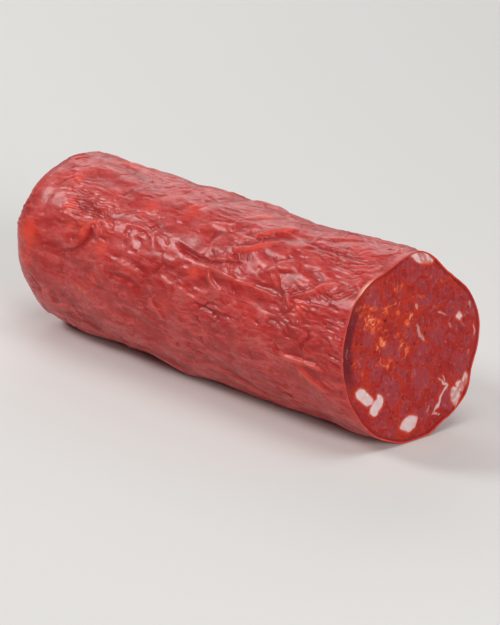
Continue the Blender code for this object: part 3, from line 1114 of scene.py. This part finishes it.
def casing_material():
    """Thin translucent skin over red meat: deep red in the creases, partly as painted shade, and milky pink
    where it stands off, as painted light. A painted milky sheen lies over it in patches and streaks.
    """
    n = Nodes("casing")
    lengthwise = n.add("Mapping")
    n.plug(n.place, lengthwise.inputs["Vector"])
    lengthwise.inputs["Scale"].default_value = (0.3, 1.0, 1.0)
    lengthwise = lengthwise.outputs["Vector"]
    mottle = n.ramp(n.noise(12, 3, 0.55, 0.4), 0.38, 0.64)
    paint = n.mix(mottle, CASING_RED, CASING_LIGHT)
    brown = n.math("MULTIPLY", n.ramp(n.noise(5.5, 4, 0.6, 0.8), 0.52, 0.66), 0.55)
    paint = n.mix(brown, paint, CASING_BROWN)
    patchy = n.noise(4.2, 5, 0.66, 1.0, lengthwise)
    paint = n.mix(n.ramp(patchy, 0.50, 0.60, 0.0, 0.6), paint, CASING_DEEP_AND_SHADE)
    # Painted sheen where the patch noise is low
    paint = n.mix(n.ramp(patchy, 0.49, 0.40, 0.0, 0.42), paint, CASING_PAINTED_SHEEN)
    streaks = n.noise(1.6, 4, 0.6, 1.4, lengthwise)
    paint = n.mix(n.ramp(streaks, 0.52, 0.62, 0.0, 0.45), paint, CASING_DEEP_AND_SHADE)
    # Painted sheen along the light streaks, in patches
    painted_sheen = n.math("MULTIPLY", n.ramp(streaks, 0.50, 0.38), n.ramp(n.noise(7, 3, 0.6), 0.4, 0.6, 0.1, 0.6))
    paint = n.mix(painted_sheen, paint, CASING_PAINTED_SHEEN)
    contour = n.math("ABSOLUTE", n.math("SUBTRACT", n.noise(2.4, 2, 0.5, 1.2, lengthwise), 0.5))
    where = n.ramp(n.noise(6, 2), 0.46, 0.58, 0.1, 0.8)
    hair = n.math("MULTIPLY", n.ramp(contour, 0.0, 0.022, 1.0, 0.0), where)
    # Painted shade along the thin hairline creases, which the bump also presses in
    paint = n.mix(n.math("MULTIPLY", hair, 0.55), paint, CASING_DEEP_AND_SHADE)
    # Orange spots of the skin, and painted glow along the crests of the named folds
    paint = n.mix(n.attribute("orange"), paint, CASING_ORANGE_AND_GLOW)
    # Painted shade: the hollows below the smoothed casing are darkened to deep red
    paint = n.mix(n.ramp(n.attribute("rise"), -0.02, -0.25, 0.0, 0.85), paint, CASING_DEEP_AND_SHADE)
    # Painted light: ridges that stand off the smoothed casing are lightened to a milky pink
    paint = n.mix(n.ramp(n.attribute("rise"), 0.05, 0.40, 0.0, 0.55), paint, CASING_RIDGE_PAINTED_LIGHT)
    lip = n.math("MULTIPLY", n.attribute("lip"), n.ramp(n.noise(5, 3, 0.6), 0.35, 0.65, 0.25, 0.9))
    paint = n.mix(lip, paint, LIP_COLOUR)
    # Painted highlight on the curled lip
    paint = n.mix(n.attribute("curl"), paint, LIP_PAINTED_HIGHLIGHT)
    uneven = n.ramp(n.noise(4, 4, 0.65), 0.3, 0.7, 0.36, 0.60)
    creases = n.noise(0.9, 2, 0.5, 0.6, lengthwise)
    height = n.math("MULTIPLY", creases, n.ramp(n.attribute("crinkle"), 0.01, 0.09, 0.15, 0.9))
    height = n.math("SUBTRACT", height, n.math("MULTIPLY", hair, 0.25))
    n.set(Base_Color=paint, Roughness=uneven, Normal=n.bump(height, 0.30), Sheen_Weight=0.06,
          Sheen_Roughness=0.4, Sheen_Tint=(1.0, 0.80, 0.80, 1.0), Coat_Weight=0.25,
          Coat_Roughness=0.22, Specular_IOR_Level=0.3, IOR=1.45)
    return n.material


def cut_material():
    """Coarse-minced meat: purple and red grains in orange paste, white fat with orange rims."""
    n = Nodes("cut_meat")
    tone = n.math("ADD", n.attribute("tone"), n.ramp(n.noise(0.9, 3, 0.6), 0.3, 0.7, -0.15, 0.15))
    paint = n.mix(n.ramp(tone, 0.15, 0.75), MEAT_RED, MEAT_PURPLE)
    paint = n.mix(n.ramp(n.noise(1.3, 4, 0.7, 1.2), 0.50, 0.60, 0.0, 0.6), paint, MEAT_ORANGE)
    paint = n.mix(n.ramp(n.noise(1.0, 4, 0.7, 0.8), 0.53, 0.62, 0.0, 0.6), paint, MEAT_DARK)
    paint = n.mix(n.ramp(n.noise(1.8, 5, 0.75, 0.5), 0.55, 0.64, 0.0, 0.45), paint, MEAT_PALE)
    seam = n.math("MULTIPLY", n.attribute("seam"), n.ramp(n.noise(0.8, 3, 0.65), 0.3, 0.6, 0.45, 1.0))
    paint = n.mix(seam, paint, MEAT_ORANGE)
    flecks = n.math("MULTIPLY", n.ramp(n.noise(0.7, 4, 0.75, 0.8), 0.54, 0.68), n.attribute("paste"))
    paint = n.mix(n.math("MULTIPLY", flecks, 0.7), paint, CRUMB_ORANGE)
    paint = n.mix(n.ramp(n.attribute("crumb"), 0.1, 0.6), paint, CRUMB_ORANGE)
    # Pale crumb tops: partly fat, partly painted highlight
    pale = n.ramp(n.attribute("crumb"), 0.5, 0.95, 0.0, 0.65)
    paint = n.mix(pale, paint, CRUMB_PALE_AND_HIGHLIGHT)
    paint = n.mix(n.math("MULTIPLY", n.attribute("dry"), 0.92), paint, DRY_EDGE)
    paint = n.mix(n.math("MULTIPLY", n.attribute("halo"), 0.65), paint, HALO_ORANGE)
    fat = n.mix(n.ramp(n.noise(1.5, 3, 0.5), 0.35, 0.65), FAT_WHITE, FAT_PINK)
    paint = n.mix(n.attribute("fat"), paint, fat)
    # Painted shade inside the pores
    paint = n.mix(n.attribute("pore"), paint, PORE_SHADE)
    rough = n.ramp(n.noise(2.2, 3, 0.6), 0.3, 0.7, 0.38, 0.58)
    normal = n.bump(n.noise(0.45, 3, 0.6), 0.06)
    n.set(Base_Color=paint, Roughness=rough, Normal=normal, Subsurface_Weight=0.15,
          Subsurface_Scale=0.002, Subsurface_Radius=(1.0, 0.3, 0.2), Specular_IOR_Level=0.3, IOR=1.42)
    return n.material


def plain_material(name, paint, roughness):
    n = Nodes(name)
    n.set(Base_Color=paint, Roughness=roughness)
    return n.material


# ---------------------------------------------------------------- studio


def add_floor():
    bpy.ops.mesh.primitive_plane_add(size=8.0)
    floor = bpy.context.object
    floor.name = "floor"
    floor.data.materials.append(plain_material("floor_paint", FLOOR_PALE, 0.8))


def add_light(name, place, target, size, power):
    """A soft oval light of that size in metres, aimed at a place."""
    lamp = bpy.data.lights.new(name, "AREA")
    lamp.shape = "ELLIPSE"
    lamp.size, lamp.size_y = size
    lamp.energy = power
    holder = bpy.data.objects.new(name, lamp)
    holder.location = place
    holder.rotation_euler = (Vector(target) - Vector(place)).to_track_quat("-Z", "Y").to_euler()
    bpy.context.scene.collection.objects.link(holder)


def light_studio():
    world = bpy.data.worlds.new("studio")
    world.use_nodes = True
    background = world.node_tree.nodes["Background"]
    background.inputs["Color"].default_value = (1.0, 1.0, 1.0, 1.0)
    background.inputs["Strength"].default_value = WORLD_STRENGTH
    bpy.context.scene.world = world
    for name, place, size, power in LAMPS:
        add_light(name, place, (0, 0, 0.03), size, power)


def add_camera():
    """A long lens a metre away, aimed so that the sausage lies a little up and left in the frame."""
    turn, rise = math.radians(CAMERA_AZIMUTH), math.radians(CAMERA_ELEVATION)
    back = Vector((math.sin(turn) * math.cos(rise), -math.cos(turn) * math.cos(rise), math.sin(rise)))
    right = Vector((0, 0, 1)).cross(back).normalized()
    up = back.cross(right)
    middle = Vector((0, 0, CORE_HEIGHT * MM))
    lens = bpy.data.cameras.new("camera")
    lens.lens = CAMERA_LENS
    lens.sensor_width = 36.0
    lens.clip_start = 0.05
    camera = bpy.data.objects.new("camera", lens)
    camera.location = middle + back * CAMERA_DISTANCE
    aim = middle + right * AIM_RIGHT - up * AIM_DOWN
    camera.rotation_euler = (aim - camera.location).to_track_quat("-Z", "Y").to_euler()
    bpy.context.scene.collection.objects.link(camera)
    bpy.context.scene.camera = camera


# ---------------------------------------------------------------- everything


def build_sausage():
    skin = Skin()
    base, film, crinkle, named = wrinkled(skin)
    rise = dot(film.places - base.places, base.normals)
    spots = [((x, angle), size, size, strength) for x, angle, size, strength in ORANGE_SPOTS]
    values = {
        # How far the casing stands off its smoothed self: the material paints shade into the hollows and light
        # onto the ridges from it
        "rise": rise - base.blurred(rise, 2.0),
        "crinkle": crinkle,
        # Orange spots of the skin, and painted glow on the crests of the named folds
        "orange": np.maximum(bumps(base, spots), 0.8 * smoothstep(named, 0.25, 0.9)),
    }
    casing, border = casing_bands(skin, film, values, casing_material())
    cut_face = Cut(skin, border).piece(cut_material())
    for piece in casing + [cut_face]:
        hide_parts(NODE)
        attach(piece, "root")


bpy.context.scene.view_settings.view_transform = "Standard"
build_sausage()
add_floor()
light_studio()
add_camera()
